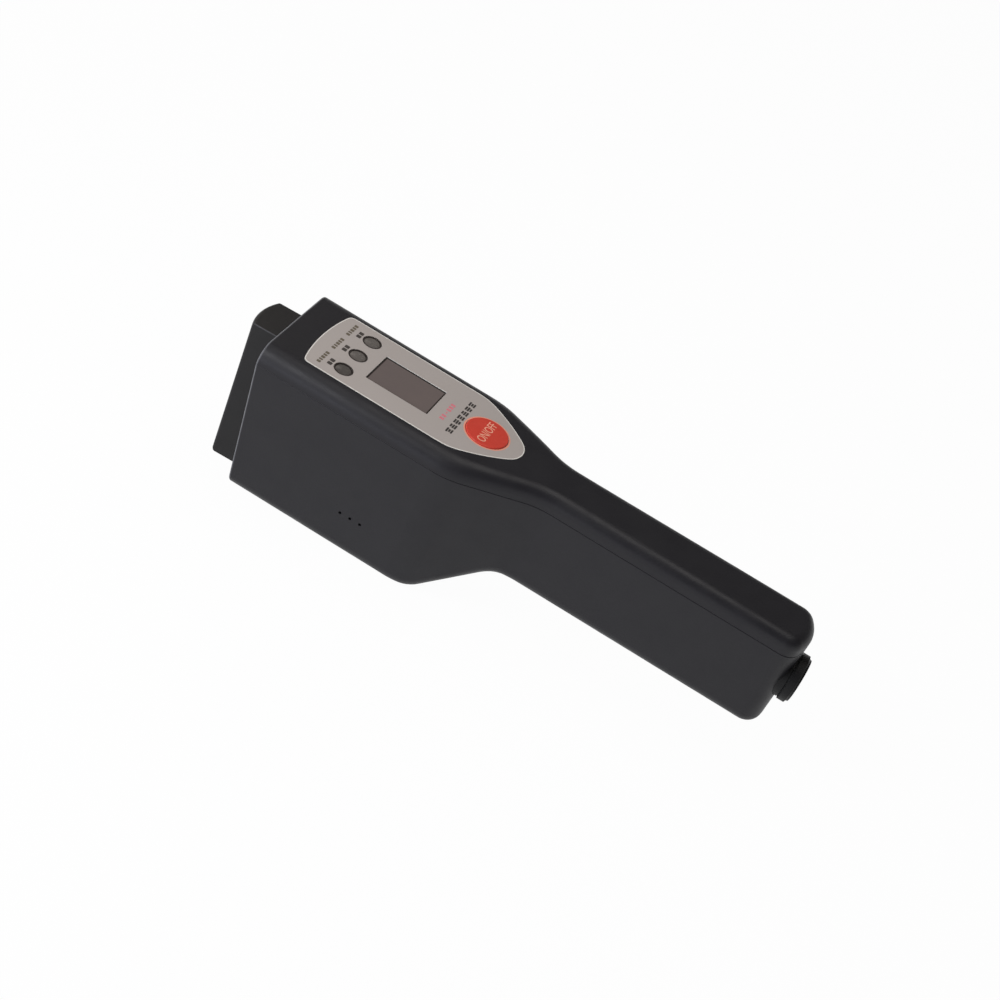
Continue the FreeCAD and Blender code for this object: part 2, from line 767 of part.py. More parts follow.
def label_plate(name, shift, low, thickness):
    body = new_body(name)
    sketch = outline(new_sketch(body, "XY_Plane", name + "_outline"), label_corners(shift))
    blank = pad(body, sketch, thickness)
    upright = (thickness / 2).number
    round_edges(body, blank, S.label_corner_radius + shift,
                lambda middle, edge: middle.x < 0 and edge.BoundBox.ZLength > upright, "FrontCorners")
    place(body, (0, 0, low))
    DOC.recompute()
    return body


def window_block(name, shift, low, thickness):
    half_length = S.window_half_length + shift
    half_width = S.window_half_width + shift
    return block(name, (S.window_x - half_length, -half_width, low),
                 (2 * half_length, 2 * half_width, thickness))


def lamp_cylinders(name, radius, low, thickness):
    return [cylinder(name + "_" + side, radius, thickness,
                     (-S.lamp_x, step * S.lamp_pitch, low)) for side, step in LAMPS]


def board_posts():
    front = -S.main_board_front + S.post_inset
    rear = S.main_board_rear - S.post_inset
    side = S.main_board_half_width - S.post_inset
    return [(x, s * side) for x in (front, rear) for s in SIDES]


def build_housing_top():
    shell = cut("top_shell", OUTER_UPPER, [CORE_UPPER])
    columns = []
    holes = []
    for index, (x, y) in enumerate(BOSSES):
        name = "top_boss_%d" % index
        columns.append(cylinder(name, S.boss_radius, S.lid_depth - S.wall / 2, (x, y, PARTING)))
        holes.append(cylinder(name + "_pilot", S.screw_radius, S.lid_depth - S.wall, (x, y, PARTING)))
    for index, (x, y) in enumerate(board_posts()):
        name = "top_post_%d" % index
        length = S.main_board_drop - S.wall / 2
        columns.append(cylinder(name, S.post_radius, length, (x, y, BOARD_TOP)))
        holes.append(cylinder(name + "_pilot", S.board_screw_radius, length - S.wall, (x, y, BOARD_TOP)))
    low = S.head_depth - S.label_recess
    holes.append(label_plate("label_seat", S.label_gap, low, S.wall))
    holes.append(window_block("window_opening", S.window_gap, LID_CEILING - BEYOND, 2 * S.lid_depth))
    holes += lamp_cylinders("lamp_opening", S.bezel_radius, LID_CEILING - BEYOND, 2 * S.lid_depth)
    holes.append(cylinder("button_opening", S.button_radius + S.button_gap, 2 * S.lid_depth,
                          (S.button_x, 0, LID_CEILING - BEYOND)))
    ledge_ring = ledge("top_ledge", OUTER_UPPER, SEAT_UPPER)
    whole = fuse("top_whole", [shell, ledge_ring] + columns)
    return sub_part(cut("top", whole, holes), "housing_top")


# ---------------------------------------------------------------- front and nose

def build_front_plate(screws):
    slab = leaning_block("plate_slab", -S.plate_thickness, S.rim_reach, -S.head_depth,
                         (S.plate_thickness, SLAB_HEIGHT))
    form = fuse("plate_form", [PLATE_LOWER, PLATE_UPPER])
    plate = common("plate_blank", [slab, form])
    opening = leaning_block("plate_opening", -BEYOND, S.nose_half_width + S.nose_gap,
                            S.nose_low - S.nose_gap,
                            (2 * BEYOND, NOSE_HIGH - S.nose_low + 2 * S.nose_gap))
    return sub_part(cut("plate", plate, [opening, screws]), "front_plate")


NOSE_INNER_LOW = S.nose_low + S.nose_end_wall
NOSE_INNER_HIGH = NOSE_HIGH - S.nose_end_wall
PAD_BACK = S.nose_reach - S.nose_crown - S.pad_thickness
CAVITY_FRONT = PAD_BACK - S.nose_wall
FLANGE_BACK = -(S.plate_thickness + S.flange_thickness)


def nose_form(name):
    """The nose's outer form: a crowned bar, in the leaning frame."""
    body = new_body(name)
    half = S.nose_half_width
    side_front = -(S.nose_reach - S.nose_crown)
    crown = (half * half + S.nose_crown * S.nose_crown) / (2 * S.nose_crown)
    corners = [
        (side_front, half, crown, 1),
        (side_front, -half),
        (S.plate_thickness, -half),
        (S.plate_thickness, half),
    ]
    plane = new_sketch(body, "XY_Plane", name + "_outline", S.chin_low)
    bar = pad(body, outline(plane, corners), NOSE_HIGH - S.chin_low)
    front_x = side_front.number + NEAR
    round_edges(body, bar, S.nose_corner_radius,
                lambda middle, edge: middle.x < front_x, "NoseCorners")
    leaning(body, as_size(0), 0, as_size(0))
    DOC.recompute()
    return body


def build_nose(screws):
    form = nose_form("nose_form")
    inner_height = NOSE_INNER_HIGH - NOSE_INNER_LOW
    ears = leaning_block("nose_ears", FLANGE_BACK, S.nose_half_width + S.flange_width,
                         NOSE_INNER_LOW, (S.flange_thickness, inner_height))
    link = leaning_block("nose_link", FLANGE_BACK, S.nose_half_width,
                         NOSE_INNER_LOW, (S.flange_thickness + S.plate_thickness, inner_height))
    rim_ahead = S.face_setback + S.chin_gap
    notch = leaning_block("chin_notch", rim_ahead - S.rim_reach, S.rim_reach,
                          S.nose_low - S.rim_reach, (S.rim_reach, S.rim_reach))
    cavity = leaning_block("nose_cavity", CAVITY_FRONT - S.rim_reach, S.nose_half_width - S.nose_wall,
                           NOSE_INNER_LOW, (S.rim_reach, inner_height))
    pad_low = S.chin_low + S.pad_margin
    pad_height = NOSE_HIGH - S.chin_low - 2 * S.pad_margin
    seat = leaning_block("pad_seat", PAD_BACK, S.pad_half_width + S.pad_gap, pad_low - S.pad_gap,
                         (S.nose_reach, pad_height + 2 * S.pad_gap))
    whole = fuse("nose_whole", [cut("nose_bar", form, [notch]), ears, link])
    cover = cut("nose", whole, [cavity, seat, screws])
    sub_part(cover, "nose_cover")
    blank = leaning_block("pad_blank", PAD_BACK, S.pad_half_width, pad_low, (S.nose_reach, pad_height))
    sub_part(common("pad", [nose_form("pad_form"), blank]), "sensing_pad")


def build_sensor():
    board_half = S.nose_half_width - S.nose_wall - S.sensor_board_gap
    low = NOSE_INNER_LOW + S.sensor_board_gap
    height = NOSE_INNER_HIGH - NOSE_INNER_LOW - 2 * S.sensor_board_gap
    electrode_back = CAVITY_FRONT - S.electrode_thickness
    electrodes = []
    for side in SIDES:
        plate = leaning_block("electrode_%d" % side, electrode_back, S.electrode_width / 2,
                              low, (S.electrode_thickness, height))
        middle = side * (S.electrode_width + S.electrode_split) / 2
        bind(plate, **{"Placement.Base.y": middle - S.electrode_width / 2})
        electrodes.append(plate)
    sub_part(fuse("electrodes", electrodes), "sensing_electrodes")
    board_back = electrode_back - S.board_thickness
    board = leaning_block("sensor_board", board_back, board_half, low, (S.board_thickness, height))
    sub_part(board, "sensor_board")
    shield = leaning_block("shield_can", board_back - S.shield_depth, board_half - S.shield_inset,
                           low + S.shield_inset, (S.shield_depth, height - 2 * S.shield_inset))
    sub_part(shield, "sensor_shield")


def build_nose_screws():
    """Small screws through the nose's ears into the front plate."""
    screws = []
    turn = Rotation(Vector(0, 1, 0), 90 - S.face_tilt.number)
    depth = S.flange_thickness + S.plate_thickness / 2
    heights = (NOSE_INNER_LOW + S.nose_screw_inset, NOSE_INNER_HIGH - S.nose_screw_inset)
    for side in SIDES:
        for index, height in enumerate(heights):
            name = "nose_screw_%d_%d" % (side, index)
            y = side * (S.nose_half_width + S.flange_width / 2)
            for part, back, radius, length in (("head", -FLANGE_BACK, S.screw_radius, S.board_screw_radius),
                                               ("shank", -FLANGE_BACK - depth, S.board_screw_radius, depth)):
                piece = cylinder(name + "_" + part, radius, length, (0, 0, 0))
                x = FACE_X + back * cosine(S.face_tilt) - height * sine(S.face_tilt)
                z = height * cosine(S.face_tilt) + back * sine(S.face_tilt)
                screws.append(place(piece, (x, y, z), turn))
    return sub_part(fuse("nose_screws", screws), "nose_screws")


# ---------------------------------------------------------------- label, display, lamps, button

LABEL_TOP = S.head_depth - S.label_recess + S.label_thickness


def build_label():
    plate = label_plate("label_blank", as_size(0), S.head_depth - S.label_recess, S.label_thickness)
    low = S.head_depth - BEYOND
    holes = [window_block("label_window", S.window_gap, low, 2 * BEYOND)]
    holes += lamp_cylinders("label_lamp", S.bezel_radius, low, 2 * BEYOND)
    holes.append(cylinder("label_button", S.button_radius + S.button_gap, 2 * BEYOND, (S.button_x, 0, low)))
    sub_part(cut("label", plate, holes), "label_plate")


def build_display():
    window_low = LABEL_TOP - S.window_recess - S.window_thickness
    sub_part(window_block("window", as_size(0), window_low, S.window_thickness), "display_window")
    sub_part(window_block("panel", as_size(0), LID_CEILING, window_low - LID_CEILING), "display_panel")
    sub_part(window_block("module", S.module_margin, BOARD_TOP, LID_CEILING - BOARD_TOP), "display_module")


def build_lamps():
    low = LABEL_TOP - S.lens_thickness
    lenses = lamp_cylinders("lens", S.lamp_radius, low, S.lens_thickness - S.lens_recess)
    rings = lamp_cylinders("bezel_outer", S.bezel_radius, low, S.lens_thickness)
    bores = lamp_cylinders("bezel_bore", S.lamp_radius, low - BEYOND, 2 * BEYOND)
    for (side, _), lens in zip(LAMPS, lenses):
        sub_part(lens, "lamp_lens_" + side)
    bezels = [cut("bezel_%d" % index, ring, [bore]) for index, (ring, bore) in enumerate(zip(rings, bores))]
    sub_part(fuse("bezels", bezels), "lamp_bezels")
    diodes = lamp_cylinders("diode", S.led_radius, BOARD_TOP, low - BOARD_TOP)
    sub_part(fuse("diodes", diodes), "status_diodes")


def revolved(name, corners, start, direction):
    """A turned piece: its corners are (distance along the axis, radius)."""
    body = new_body(name)
    sketch = outline(new_sketch(body, "XY_Plane", name + "_profile"), corners)
    turned = body.newObject("PartDesign::Revolution", name + "_turn")
    turned.Profile = sketch
    turned.ReferenceAxis = (sketch, ["H_Axis"])
    turned.Angle = 360
    DOC.recompute()
    place(body, start, direction)
    DOC.recompute()
    return body


def build_button():
    rise = LABEL_TOP + S.button_stand - LID_CEILING
    flange_top = -S.button_gap
    flange_low = flange_top - S.button_flange
    stem_low = BOARD_TOP + S.switch_height + S.button_travel + S.button_gap - LID_CEILING
    flange_radius = S.button_radius + S.button_flange
    edge = S.button_edge_radius
    corners = [
        (stem_low, 0),
        (rise + edge, 0),
        (rise + edge, S.button_radius - edge, edge, -1),
        (rise, S.button_radius),
        (flange_top, S.button_radius),
        (flange_top, flange_radius),
        (flange_low, flange_radius),
        (flange_low, S.stem_radius),
        (stem_low, S.stem_radius),
    ]
    button = revolved("button", corners, (S.button_x, 0, LID_CEILING), FORWARD)
    sub_part(button, "power_button")
    half = S.switch_width / 2
    switch = block("switch", (S.button_x - half, -half, BOARD_TOP),
                   (S.switch_width, S.switch_width, S.switch_height))
    sub_part(switch, "power_switch")


# ---------------------------------------------------------------- boards and buzzer

def build_main_board():
    length = S.main_board_rear + S.main_board_front
    blank = block("board_blank", (-S.main_board_front, -S.main_board_half_width, BOARD_LOW),
                  (length, 2 * S.main_board_half_width, S.board_thickness))
    holes = []
    screws = []
    shank = S.board_screw_radius
    for index, (x, y) in enumerate(board_posts()):
        name = "board_hole_%d" % index
        holes.append(cylinder(name, shank + S.screw_gap, 2 * BEYOND, (x, y, BOARD_LOW - BEYOND)))
        head = cylinder("board_screw_head_%d" % index, 2 * shank, shank, (x, y, BOARD_LOW - shank))
        stalk = cylinder("board_screw_%d" % index, shank, S.board_thickness + 2 * S.post_radius,
                         (x, y, BOARD_LOW))
        screws += [head, stalk]
    sub_part(cut("board", blank, holes), "main_board")
    sub_part(fuse("board_screw_set", screws), "board_screws")
    half = S.chip_width / 2
    chip = block("chip", (-half, -half, BOARD_LOW - S.chip_thickness),
                 (S.chip_width, S.chip_width, S.chip_thickness))
    sub_part(chip, "processor")


def build_buzzer():
    drop = PARTING - S.sound_hole_z
    wall_y = S.head_half_width - S.wall / cosine(S.draft_angle) - drop * tangent(S.draft_angle)
    buzzer = cylinder("buzzer", S.buzzer_radius, S.buzzer_thickness, (0, 0, 0))
    turn = Rotation(Vector(1, 0, 0), (S.draft_angle - 90).number)
    place(buzzer, (S.sound_hole_x, -wall_y + S.running_gap, S.sound_hole_z), turn)
    buzzer.setExpression("Placement.Rotation.Angle", (S.draft_angle - 90).text)
    sub_part(buzzer, "buzzer")


# ---------------------------------------------------------------- battery

def build_battery():
    tube_end = COLLAR_END - S.tube_front
    collar = tube_end - S.collar_length
    corners = [
        (0, 0),
        (0, TUBE_RADIUS),
        (collar, TUBE_RADIUS),
        (collar, S.collar_radius),
        (tube_end, S.collar_radius),
        (tube_end, BORE_RADIUS),
        (S.tube_wall, BORE_RADIUS),
        (S.tube_wall, 0),
    ]
    axis_start = (S.tube_front, 0, TUBE_Z)
    sub_part(revolved("tube", corners, axis_start, UPWARD), "battery_tube")
    contact_length = CELL_FRONT - S.tube_front - S.tube_wall
    contact = cylinder("front_contact", S.contact_radius, contact_length,
                       (S.tube_front + S.tube_wall, 0, TUBE_Z), REARWARD)
    sub_part(contact, "front_contact")
    for index, label in enumerate(("front_cell", "rear_cell")):
        start = CELL_FRONT + index * CELL_LENGTH
        cell = cylinder(label, S.cell_radius, CELL_LENGTH, (start, 0, TUBE_Z), REARWARD)
        sub_part(cell, label)
    half = S.strip_half_width
    thickness = S.contact_thickness
    upright = block("strip_upright", (S.tube_front - thickness, -half, TUBE_Z - half),
                    (thickness, 2 * half, BOARD_LOW - TUBE_Z + half))
    reach = S.tube_front - S.main_board_rear + S.post_inset
    level = block("strip_level", (S.tube_front - reach, -half, BOARD_LOW - thickness),
                  (reach, 2 * half, thickness))
    sub_part(fuse("strip", [upright, level]), "battery_strip")


PLUG_RADIUS = BORE_RADIUS - S.running_gap


def build_cap():
    edge = S.cap_edge_radius
    corners = [
        (-S.cap_plug_length, 0),
        (S.cap_thickness, 0),
        (S.cap_thickness, S.cap_radius - edge, edge, -1),
        (S.cap_thickness - edge, S.cap_radius),
        (0, S.cap_radius),
        (0, PLUG_RADIUS),
        (-S.cap_plug_length, PLUG_RADIUS),
    ]
    start = (CAP_FACE, 0, TUBE_Z)
    knob = revolved("cap_knob", corners, start, UPWARD)
    slot_low = (CAP_FACE + S.cap_thickness - S.slot_depth, -S.slot_half_length, TUBE_Z - S.slot_width / 2)
    slot = block("cap_slot", slot_low, (2 * S.slot_depth, 2 * S.slot_half_length, S.slot_width))
    sub_part(cut("cap", knob, [slot]), "battery_cap")
    seal_start = (CAP_FACE - S.seal_thickness, 0, TUBE_Z)
    seal_radius = S.collar_radius - S.cap_gap
    ring = cylinder("seal_ring", seal_radius, S.seal_thickness, seal_start, REARWARD)
    bore = cylinder("seal_bore", PLUG_RADIUS, 2 * BEYOND, along(seal_start, "x", -BEYOND), REARWARD)
    sub_part(cut("seal", ring, [bore]), "cap_seal")
    contact = DOC.addObject("Part::Cone", "cap_contact")
    bind(contact, Radius1=S.contact_tip_radius, Radius2=PLUG_RADIUS - S.contact_margin,
         Height=S.cap_contact_length)
    place(contact, (CAP_CONTACT_START, 0, TUBE_Z), REARWARD)
    sub_part(contact, "cap_contact")


def build_case_screws():
    screws = []
    for index, (x, y) in enumerate(BOSSES):
        name = "case_screw_%d" % index
        screws.append(cylinder(name, S.screw_radius, S.screw_length, (x, y, SCREW_SEAT)))
        screws.append(cylinder(name + "_head", S.screw_head_radius, S.screw_head_height,
                               (x, y, SCREW_SEAT - S.screw_head_height)))
    sub_part(fuse("case_screw_set", screws), "case_screws")


# ---------------------------------------------------------------- build, check and write

def check_document():
    for item in DOC.Objects:
        if "Invalid" in item.State or "Error" in item.State:
            raise RuntimeError("%s failed: %s" % (item.Name, item.State))
    for item in PARTS:
        if item.Shape.isNull() or not item.Shape.isValid() or not item.Shape.Solids:
            raise RuntimeError("%s has no valid solid" % item.Label)


def main():
    build_housing_base()
    build_housing_top()
    nose_screws = build_nose_screws()
    build_front_plate(nose_screws)
    build_nose(nose_screws)
    build_sensor()
    build_label()
    build_display()
    build_lamps()
    build_button()
    build_main_board()
    build_buzzer()
    build_battery()
    build_cap()
    build_case_screws()
    DOC.recompute()
    check_document()
    os.makedirs("parts", exist_ok=True)
    for item in PARTS:
        item.Shape.exportStep(os.path.join("parts", item.Label + ".step"))
        box = item.Shape.optimalBoundingBox()
        print("%-20s %2d solid(s) %10.1f mm3  x %7.1f %7.1f  y %6.1f %6.1f  z %6.1f %6.1f" % (
            item.Label, len(item.Shape.Solids), item.Shape.Volume,
            box.XMin, box.XMax, box.YMin, box.YMax, box.ZMin, box.ZMax))


main()
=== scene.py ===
import math

import bmesh
import bpy
from mathutils import Matrix, Vector


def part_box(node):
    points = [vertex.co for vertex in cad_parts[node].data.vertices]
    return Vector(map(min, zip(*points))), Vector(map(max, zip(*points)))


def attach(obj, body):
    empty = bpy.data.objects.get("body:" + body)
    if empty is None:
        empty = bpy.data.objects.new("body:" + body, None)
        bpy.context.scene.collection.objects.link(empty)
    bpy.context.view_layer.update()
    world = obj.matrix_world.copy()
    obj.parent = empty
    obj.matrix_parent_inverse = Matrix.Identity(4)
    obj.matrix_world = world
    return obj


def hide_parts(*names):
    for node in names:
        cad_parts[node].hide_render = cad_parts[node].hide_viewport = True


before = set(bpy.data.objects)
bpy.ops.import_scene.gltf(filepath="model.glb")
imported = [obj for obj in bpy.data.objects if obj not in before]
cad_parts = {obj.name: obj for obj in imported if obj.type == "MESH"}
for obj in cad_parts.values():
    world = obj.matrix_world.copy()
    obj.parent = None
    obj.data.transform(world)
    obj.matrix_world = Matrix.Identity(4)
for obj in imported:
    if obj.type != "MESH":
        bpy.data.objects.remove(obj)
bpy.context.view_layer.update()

MM = 0.001


# ---------------------------------------------------------------- shader helpers

def srgb(red, green, blue):
    """Linear colour from three numbers of 0 to 255."""
    def linear(value):
        value /= 255
        return value / 12.92 if value <= 0.04045 else ((value + 0.055) / 1.055) ** 2.4
    return (linear(red), linear(green), linear(blue), 1)


def scaled(colour, factor, lift=0.0):
    """A linear colour made brighter or darker."""
    return tuple(min(1, channel * factor + lift) for channel in colour[:3]) + (1,)


class Shader:
    """A material whose nodes are added one call at a time."""

    def __init__(self, name, colour, roughness=0.5, **inputs):
        self.material = bpy.data.materials.new(name)
        self.material.use_nodes = True
        self.tree = self.material.node_tree
        self.surface = self.tree.nodes["Principled BSDF"]
        self.surface.inputs["Base Color"].default_value = colour
        self.surface.inputs["Roughness"].default_value = roughness
        self.height = None
        for name, value in inputs.items():
            self.surface.inputs[name.replace("_", " ")].default_value = value

    def node(self, kind, **settings):
        made = self.tree.nodes.new(kind)
        for name, value in settings.items():
            setattr(made, name, value)
        return made

    def link(self, source, target):
        self.tree.links.new(source, target)

    def coordinates(self, stretch=(1, 1, 1)):
        """Object coordinates in metres, each multiplied by its stretch."""
        place = self.node("ShaderNodeTexCoord")
        mapping = self.node("ShaderNodeMapping")
        mapping.inputs["Scale"].default_value = stretch
        self.link(place.outputs["Object"], mapping.inputs["Vector"])
        return mapping.outputs["Vector"]

    def axes(self):
        """The x, y and z of the object coordinates."""
        split = self.node("ShaderNodeSeparateXYZ")
        self.link(self.coordinates(), split.inputs["Vector"])
        return split.outputs

    def noise(self, scale, detail=3, stretch=(1, 1, 1)):
        made = self.node("ShaderNodeTexNoise")
        made.inputs["Scale"].default_value = scale
        made.inputs["Detail"].default_value = detail
        made.inputs["Roughness"].default_value = 0.55
        self.link(self.coordinates(stretch), made.inputs["Vector"])
        return made.outputs["Fac"]

    def cells(self, scale, feature="F1"):
        made = self.node("ShaderNodeTexVoronoi", feature=feature)
        made.inputs["Scale"].default_value = scale
        self.link(self.coordinates(), made.inputs["Vector"])
        return made.outputs["Distance"]

    def ramp(self, value, low, high, start=0.3, end=0.7):
        """Remap a value so that start gives low and end gives high."""
        made = self.node("ShaderNodeMapRange")
        for name, number in zip(("From Min", "From Max", "To Min", "To Max"), (start, end, low, high)):
            made.inputs[name].default_value = number
        self.link(value, made.inputs["Value"])
        return made.outputs["Result"]

    def combine(self, kind, first, second=0.0):
        """One math node on two sockets or numbers."""
        made = self.node("ShaderNodeMath", operation=kind)
        for socket, value in zip(made.inputs, (first, second)):
            if isinstance(value, (int, float)):
                socket.default_value = value
            else:
                self.link(value, socket)
        return made.outputs[0]

    def mix_colour(self, factor, other):
        """Blend what the base colour is now towards another colour."""
        mix = self.node("ShaderNodeMix", data_type="RGBA")
        base = self.surface.inputs["Base Color"]
        if base.is_linked:
            self.link(base.links[0].from_socket, mix.inputs["A"])
        else:
            mix.inputs["A"].default_value = base.default_value
        mix.inputs["B"].default_value = other
        self.link(factor, mix.inputs["Factor"])
        self.link(mix.outputs["Result"], base)

    def roughen(self, value):
        self.link(value, self.surface.inputs["Roughness"])

    def bump(self, value, depth, strength=1.0):
        """Add relief of that depth in metres."""
        made = self.node("ShaderNodeBump")
        made.inputs["Distance"].default_value = depth
        made.inputs["Strength"].default_value = strength
        self.link(value, made.inputs["Height"])
        if self.height is not None:
            self.link(self.height, made.inputs["Normal"])
        self.height = made.outputs["Normal"]
        self.link(self.height, self.surface.inputs["Normal"])


# ---------------------------------------------------------------- materials

FRONT_LEAN = math.radians(4.5)
NOSE_LEAN = math.radians(2.2)
NOSE_HALF_WIDTH = 12.5 * MM


def moulded_shader(name, colour, roughness=0.5, grain=1500, gloss=0.3):
    """Moulded plastic: fine spark-eroded grain, faint cloudiness and uneven gloss."""
    depth = 0.00003
    made = Shader(name, colour, roughness, Specular_IOR_Level=gloss)
    made.bump(made.combine("ADD", made.noise(grain, 4), made.cells(grain * 0.8)), depth, 0.6)
    made.bump(made.noise(grain * 0.12, 3), depth, 0.2)
    made.roughen(made.ramp(made.noise(70, 5), roughness - 0.06, roughness + 0.07))
    made.mix_colour(made.ramp(made.noise(26, 6), 0.0, 0.16), scaled(colour, 1.35, 0.002))
    speck = made.ramp(made.cells(grain * 0.5), 0.35, 0.0, 0.02, 0.16)
    made.mix_colour(speck, scaled(colour, 1.9, 0.004))
    return made


def moulded(name, colour, roughness, **settings):
    return moulded_shader(name, colour, roughness, **settings).material


def housing_plastic(name, colour, roughness):
    """The housing's plastic, with a painted highlight along the lip of its open front."""
    made = moulded_shader(name, colour, roughness)
    low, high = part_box("housing_base")
    x, _, z = made.axes()
    below = made.combine("MINIMUM", made.combine("SUBTRACT", z, high.z), 0.0)
    leaned = made.combine("MULTIPLY", below, math.tan(FRONT_LEAN))
    lip_gap = made.combine("ADD", made.combine("SUBTRACT", x, low.x), leaned)
    # painted highlight: a light band along the front lip, broken up by noise
    painted_highlight = made.ramp(lip_gap, 1.0, 0.0, 0.0003, 0.0011)
    patchy = made.ramp(made.noise(240, 4), 0.65, 1.0)
    made.mix_colour(made.combine("MULTIPLY", painted_highlight, patchy), srgb(120, 120, 124))
    return made.material


def nose_plastic(name, colour, roughness):
    """The nose's plastic, with a painted highlight along the two long edges of its leaning top."""
    made = moulded_shader(name, colour, roughness, grain=1900)
    spots = [vertex.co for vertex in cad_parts["nose_cover"].data.vertices]
    highest = max(spot.z * math.cos(NOSE_LEAN) - spot.x * math.sin(NOSE_LEAN) for spot in spots)
    x, y, z = made.axes()
    upright = made.combine("MULTIPLY", z, math.cos(NOSE_LEAN))
    height = made.combine("SUBTRACT", upright, made.combine("MULTIPLY", x, math.sin(NOSE_LEAN)))
    from_top = made.combine("SUBTRACT", highest, height)
    from_side = made.combine("SUBTRACT", NOSE_HALF_WIDTH, made.combine("ABSOLUTE", y))
    # painted highlight along the two long edges of the top, broken up by noise
    painted_highlight = made.ramp(made.noise(240, 4), 0.2, 0.7)
    for gap in (from_top, from_side):
        painted_highlight = made.combine("MULTIPLY", painted_highlight, made.ramp(gap, 1.0, 0.0, 0.0002, 0.0006))
    made.mix_colour(painted_highlight, srgb(104, 104, 108))
    return made.material


def metal(name, colour, roughness=0.3, stretch=(1, 1, 24)):
    """Plated or drawn metal with fine lines and a few dull patches."""
    made = Shader(name, colour, roughness, Metallic=1.0)
    made.bump(made.noise(900, 3, stretch=stretch), 0.000008, 0.5)
    made.roughen(made.ramp(made.noise(320, 4, stretch=stretch), roughness - 0.08, roughness + 0.14))
    made.mix_colour(made.ramp(made.noise(45, 4), 0.0, 0.35), scaled(colour, 0.6))
    return made.material


def printed(name, colour, cover=0.2):
    """Screen-printed ink with slightly uneven cover and a mesh-like surface."""
    made = Shader(name, colour, 0.55, Specular_IOR_Level=0.35)
    made.bump(made.noise(3200, 3), 0.000006, 0.5)
    made.mix_colour(made.ramp(made.noise(1400, 4), 0.0, cover), scaled(colour, 1.5, 0.05))
    return made.material


def rubbery(name, colour, roughness=0.75):
    """Soft matt rubber with a dusty bloom."""
    made = Shader(name, colour, roughness, Specular_IOR_Level=0.25, Sheen_Weight=0.08)
    made.bump(made.noise(2400, 5), 0.00002, 0.6)
    made.roughen(made.ramp(made.noise(120, 5), roughness - 0.08, roughness + 0.1))
    made.mix_colour(made.ramp(made.noise(60, 6), 0.0, 0.35), scaled(colour, 1.9, 0.006))
    return made.material


def label_sheet(name):
    """Silver polyester label: flat metallic flake under a matt coat, brushed very finely."""
    made = Shader(name, srgb(184, 175, 169), 0.45, Metallic=0.1, Specular_IOR_Level=0.3)
    made.bump(made.noise(2600, 3, stretch=(1, 14, 1)), 0.000006, 0.5)
    flakes = made.cells(5200)
    made.mix_colour(made.ramp(flakes, 0.32, 0.0, 0.05, 0.35), srgb(204, 196, 190))
    made.mix_colour(made.ramp(made.noise(1800, 4, stretch=(1, 10, 1)), 0.0, 0.3), srgb(162, 154, 148))
    made.mix_colour(made.ramp(made.noise(30, 4), 0.0, 0.22), srgb(174, 164, 156))
    made.roughen(made.ramp(made.noise(900, 4, stretch=(1, 8, 1)), 0.36, 0.5))
    return made.material


def glass_panel(name):
    """Display window: smoked cover over a grey-brown liquid-crystal field with fine rows, and painted shade
    along its edges.
    """
    low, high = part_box("display_window")
    made = Shader(name, srgb(114, 102, 98), 0.18, Specular_IOR_Level=0.3)
    x, y, _ = made.axes()
    # painted shade: a dark band along the window's four edges, for the shadow of the recess wall
    border = None
    for place, start, end in ((x, low.x, high.x), (y, low.y, high.y)):
        middle, half = (start + end) / 2, (end - start) / 2
        offset = made.combine("ABSOLUTE", made.combine("SUBTRACT", place, middle))
        edge = made.ramp(offset, 0.0, 1.0, half - 0.0009, half - 0.0006)
        border = edge if border is None else made.combine("MAXIMUM", border, edge)
    dot_pitch = 0.00062
    rows = made.combine("SINE", made.combine("MULTIPLY", x, 2 * math.pi / dot_pitch))
    columns = made.combine("SINE", made.combine("MULTIPLY", y, 2 * math.pi / dot_pitch))
    grid = made.combine("MULTIPLY", rows, columns)
    made.mix_colour(made.ramp(made.noise(42, 5), 0.0, 0.45), srgb(101, 93, 91))
    made.mix_colour(made.ramp(grid, 0.0, 0.12, -1, 1), srgb(82, 76, 74))
    made.mix_colour(border, srgb(52, 46, 43))
    made.roughen(made.ramp(made.noise(35, 5), 0.1, 0.22))
    made.bump(made.noise(18, 2), 0.0002, 0.05)
    return made.material


def smoked_lens(name, colour):
    """Smoked plastic with an uneven tint and a fine sparkle under a clear skin."""
    made = Shader(name, colour, 0.22, Specular_IOR_Level=0.5, Coat_Weight=0.35, Coat_Roughness=0.08)
    made.mix_colour(made.ramp(made.noise(500, 4), 0.0, 0.4), scaled(colour, 0.62))
    made.bump(made.cells(1500), 0.00003, 0.5)
    made.roughen(made.ramp(made.noise(260, 4), 0.16, 0.3))
    return made.material


def lacquer(name, colour, gloss=0.4, roughness=0.38):
    """Dyed gloss plastic: soft orange-peel, faint dust and slightly uneven dye."""
    made = Shader(name, colour, roughness, Specular_IOR_Level=gloss)
    made.bump(made.noise(420, 3), 0.00002, 0.35)
    made.bump(made.noise(2600, 4), 0.000012, 0.5)
    made.mix_colour(made.ramp(made.noise(90, 5), 0.0, 0.3), scaled(colour, 0.72))
    made.mix_colour(made.ramp(made.noise(700, 4), 0.0, 0.18), scaled(colour, 1.25, 0.02))
    made.roughen(made.ramp(made.noise(160, 5), roughness - 0.07, roughness + 0.09))
    return made.material


def circuit_board(name):
    """Solder mask over copper tracks, with the glass weave just showing."""
    made = Shader(name, srgb(20, 92, 52), 0.35, Specular_IOR_Level=0.5)
    made.mix_colour(made.ramp(made.cells(380, "DISTANCE_TO_EDGE"), 1.0, 0.0, 0.03, 0.07), srgb(36, 128, 70))
    made.mix_colour(made.ramp(made.noise(2200, 3), 0.0, 0.25), srgb(14, 70, 40))
    made.bump(made.cells(380, "DISTANCE_TO_EDGE"), 0.00002, 0.5)
    made.roughen(made.ramp(made.noise(300, 3), 0.28, 0.45))
    return made.material


